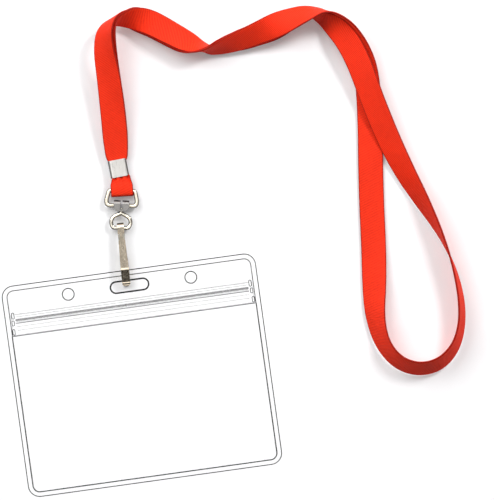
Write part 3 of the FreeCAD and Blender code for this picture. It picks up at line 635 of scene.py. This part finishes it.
def zip_details():
    """The two halves of the zip, the fine ribs on the lip and the crushed ends."""
    track = LIP_WIDTH - 2 * ZIP_END - 2 * LIP_GAP
    middle = BADGE_HEIGHT - ZIP_LINE
    strips("zip_channel_wall", "badge", ["zip_channel"],
           [(BADGE_HEIGHT - depth, breadth) for depth, breadth in CHANNEL_WALLS],
           track + 0.6, FILM, FRONT - 0.1, ZIP_SHADE)
    strips("zip_rail_rib", "lip", ["zip_rail"], [(middle, 0.4)], track, FILM + 0.1, FRONT, SOFT_LINE)
    strips("grip_rib", "lip", ["grip_ribs"],
           [(BADGE_HEIGHT - LIP_TOP - GRIP_START - GRIP_PITCH * k, RIB_BREADTH) for k in range(GRIP_COUNT)], track,
           FRONT + FILM, FRONT + FILM + 0.15, SOFT_LINE)
    strips("lip_ridge", "lip", [], [(BADGE_HEIGHT - depth, RIB_BREADTH) for depth in LIP_RIDGES],
           track, FRONT + FILM, FRONT + FILM + 0.12, SOFT_LINE)
    # Painted shade: a dark line along the window's top edge
    strips("window_edge", "badge", [], [(BADGE_HEIGHT - ZIP_FOOT, 0.36)], INNER_WIDTH, FRONT + FILM,
           FRONT + FILM + 0.08, OUTER_LINE)
    for side, way in (("left", -1), ("right", 1)):
        centre = way * (LIP_WIDTH / 2 - ZIP_END / 2 + LIP_GAP)
        for number, (rise, height) in enumerate(PADS):
            y = middle + rise
            shift = way * 0.22 * (number - 1)
            pad = sheet_piece("zip_end_%s_%d" % (side, number),
                              panel(PAD_WIDTH, y - height / 2, y + height / 2, 0.55, 0.55, centre + shift), [],
                              FILM, FRONT - 0.1, [(OUTER_LINE, 0.3)])
            place_piece(pad, "badge", "vinyl", *(["zip_end_welds"] if (side, number) == ("left", 1) else []))


def weld_bead():
    """The raised bead along the weld's inner edge, down one side, along the bottom and up the other."""
    top = BADGE_HEIGHT - ZIP_FOOT
    low_height = FRONT + FILM
    section = [(1.7, 0.0), (1.76, 0.16), (1.95, 0.25), (2.14, 0.16), (2.2, 0.0)]
    rows = []
    for inset, rise in section:
        ring = outline(panel(BADGE_WIDTH, 0, BADGE_HEIGHT, BADGE_CORNER, BADGE_CORNER), inset)
        run = [point for point in ring if point.y < BADGE_HEIGHT / 2]
        ends = (Vector((run[0].x, top)), Vector((run[-1].x, top)))
        rows.append([BADGE @ Vector((*point, low_height + rise)) for point in [ends[0]] + run + [ends[1]]])
    count = len(rows[0])
    vertices = [row[k] for k in range(count) for row in rows]
    faces = rings_to_faces(count, len(section))
    # Painted shade: the bead takes the dark weld-edge colour
    piece = mesh_piece("weld_bead_rim", vertices, faces, WELD_LINE)
    place_piece(piece, "badge", "vinyl", "weld_bead")


# --- metal ----------------------------------------------------------------------------------------
def chain_place(joint, turn):
    """A function from u across, v along and w up, in millimetres about a joint, to metres."""
    middle = Vector(JOINTS[joint]["pos_m"])
    angle = math.radians(turn)
    across, away = Vector((math.cos(angle), math.sin(angle), 0)), Vector((-math.sin(angle), math.cos(angle), 0))
    return lambda u, v, w: middle + (across * u + away * v + Vector((0, 0, w))) * MM


def tube(name, line, radius, material, sides=20):
    """A round wire along points in metres."""
    vertices = []
    for k, place in enumerate(line):
        way = (line[min(k + 1, len(line) - 1)] - line[max(k - 1, 0)]).normalized()
        side = way.cross(Vector((0, 0, 1))).normalized()
        up = side.cross(way)
        for step in range(sides):
            angle = 2 * math.pi * step / sides
            vertices.append(place + (side * math.cos(angle) + up * math.sin(angle)) * radius)
    return mesh_piece(name, vertices, rings_to_faces(len(line), sides), material)


def eye_wire():
    """The teardrop of wire below the saddle, in two halves that share a stem, with its head."""
    at = chain_place("saddle_pivot", CHAIN_TURN)
    right = [at(u, v, 0) for u, v in EYE_SIDE]
    left = [at(-u, v, 0) for u, v in EYE_SIDE]
    for name, controls in (("eye_wire_right", right), ("eye_wire_left", left)):
        wire = tube(name, smooth_line(controls, 10), EYE_RADIUS * MM, WIRE_NICKEL)
        place_piece(wire, "eye", "nickel", *(["eye_loop"] if name == "eye_wire_left" else []))
    head = tube("eye_head", [at(0, v, 0) for v in HEAD_ENDS], HEAD_RADIUS * MM, WIRE_NICKEL)
    place_piece(head, "eye", "nickel")


def finish_metal():
    """Softened edges and nickel on the metal pieces."""
    looks = {"crimp": CRIMP_NICKEL, "d_bail": BAIL_NICKEL, "swivel_saddle": SADDLE_NICKEL,
             "hook_body": HOOK_NICKEL, "gate_collar": WIRE_NICKEL, "hook_gate": HOOK_NICKEL}
    for name, look in looks.items():
        node = frame["nodes"][name]
        node.data.materials.clear()
        node.data.materials.append(look)
        soften = node.modifiers.new("soften", "BEVEL")
        soften.width = 0.00012
        soften.segments = 2
        soften.limit_method = "ANGLE"
        soften.angle_limit = math.radians(35)


# --- stage ----------------------------------------------------------------------------------------
VIEW_CENTRE = Vector((0.04606, 0.0206, 0.0))
VIEW_TURN = math.radians(-7.9)
SKY = 0.58
BANDS = 2.0
CAMERA_HEIGHT = 3.0
VIEW_WIDTH = 0.190
# Each lamp's name, places ahead, to the right and above in metres, power in watts and side in metres.
LAMPS = (("left_box", 0.60, -0.55, 0.74, 12.0, 0.95), ("right_box", 0.60, 0.55, 0.74, 7.2, 0.26))


def floor():
    """A pale table that keeps the object's shadow and goes to white around it."""
    look = Look("table")
    grain = look.noise(look.object_place(), 60.0, 2.0)
    look.surface(Base_Color=look.ramp(grain, (0.4, (0.79, 0.79, 0.80)), (0.6, (0.82, 0.82, 0.83))), Roughness=0.6)
    seen = look.add("LightPath").outputs["Is Camera Ray"]
    look.surface(Emission_Color=(1.0, 1.0, 1.0, 1.0), Emission_Strength=look.math("MULTIPLY", seen, 0.15))
    half = 1.5
    corners = [(VIEW_CENTRE.x + x, VIEW_CENTRE.y + y, -0.0002) for x, y in
               ((-half, -half), (half, -half), (half, half), (-half, half))]
    table = mesh_piece("table", corners, [(0, 1, 2, 3)], look.material, flat=True)


def lamp(name, place, energy, size):
    """A soft square lamp that faces the middle of the view."""
    light = bpy.data.lights.new(name, "AREA")
    light.energy = energy
    light.size = size
    holder = bpy.data.objects.new(name, light)
    holder.location = place
    holder.rotation_euler = (VIEW_CENTRE - Vector(place)).to_track_quat("-Z", "Y").to_euler()
    SCENE.collection.objects.link(holder)


def world():
    """A pale sky, brighter ahead and from the right, with bands for the metal to reflect."""
    made = bpy.data.worlds.new("studio")
    SCENE.world = made
    made.use_nodes = True
    tree = made.node_tree

    def add(kind, sockets=(), **settings):
        node = tree.nodes.new("ShaderNode" + kind)
        for key, value in settings.items():
            setattr(node, key, value)
        for key, value in dict(sockets).items():
            if isinstance(value, bpy.types.NodeSocket):
                tree.links.new(value, node.inputs[key])
            else:
                node.inputs[key].default_value = value
        return node

    def levels(factor, *stops):
        made_ramp = add("ValToRGB", {"Fac": factor})
        elements = made_ramp.color_ramp.elements
        while len(elements) < len(stops):
            elements.new(0.5)
        for element, (position, level) in zip(elements, stops):
            element.position = position
            element.color = (level, level, level, 1.0)
        return made_ramp.outputs["Color"]

    direction = add("TexCoord").outputs["Generated"]
    turned = add("Mapping", {"Vector": direction, "Rotation": (0.0, 0.0, -VIEW_TURN)})
    axes = add("SeparateXYZ", {0: turned.outputs[0]})
    north = add("Math", {0: axes.outputs["Y"], 1: 0.5, 2: 0.5}, operation="MULTIPLY_ADD").outputs[0]
    aside = add("Math", {0: axes.outputs["X"]}, operation="ABSOLUTE").outputs[0]
    east = add("Math", {0: axes.outputs["X"], 1: 0.5, 2: 0.5}, operation="MULTIPLY_ADD").outputs[0]
    falling = levels(north, (0.0, 0.1), (0.5, 0.75), (1.0, 1.0))
    rising = levels(east, (0.0, 0.35), (0.5, 0.7), (1.0, 1.0))
    around = add("Mix", {"Factor": 1.0, 6: falling, 7: rising}, data_type="RGBA", blend_type="MULTIPLY")
    sky = add("Background", {"Color": around.outputs[2], "Strength": SKY})
    up_down = levels(north, (0.0, 0.8), (0.03, 0.6), (0.06, 0.01), (0.25, 0.01), (0.28, 1.0), (0.45, 1.0),
                     (0.5, 0.35), (0.56, 0.2), (0.66, 0.17), (0.75, 0.6), (1.0, 0.7))
    sides = levels(aside, (0.0, 1.0), (0.5, 1.0), (0.75, 0.25), (1.0, 0.15))
    both = add("Mix", {"Factor": 1.0, 6: up_down, 7: sides}, data_type="RGBA", blend_type="MULTIPLY")
    bands = add("Background", {"Color": both.outputs[2], "Strength": BANDS})
    rays = add("LightPath")
    mixed = add("MixShader", {0: rays.outputs["Is Glossy Ray"], 1: sky.outputs[0], 2: bands.outputs[0]})
    tree.links.new(mixed.outputs[0], tree.nodes["World Output"].inputs["Surface"])


def camera():
    """Straight down, turned as the object lies in the view."""
    lens = bpy.data.cameras.new("camera")
    lens.sensor_width = 36.0
    lens.lens = lens.sensor_width * CAMERA_HEIGHT / VIEW_WIDTH
    holder = bpy.data.objects.new("camera", lens)
    holder.location = VIEW_CENTRE + Vector((0, 0, CAMERA_HEIGHT))
    holder.rotation_euler = (0, 0, VIEW_TURN)
    SCENE.collection.objects.link(holder)
    SCENE.camera = holder


def stage():
    """Floor, lamps, world and camera."""
    floor()
    up = Vector((-math.sin(VIEW_TURN), math.cos(VIEW_TURN), 0))
    right = Vector((math.cos(VIEW_TURN), math.sin(VIEW_TURN), 0))
    for name, ahead, aside, above, power, size in LAMPS:
        lamp(name, VIEW_CENTRE + up * ahead + right * aside + Vector((0, 0, above)), power, size)
    world()
    camera()


stage()
neck_ribbon()
bail_fold()
badge_sheets()
zip_details()
weld_bead()
eye_wire()
finish_metal()
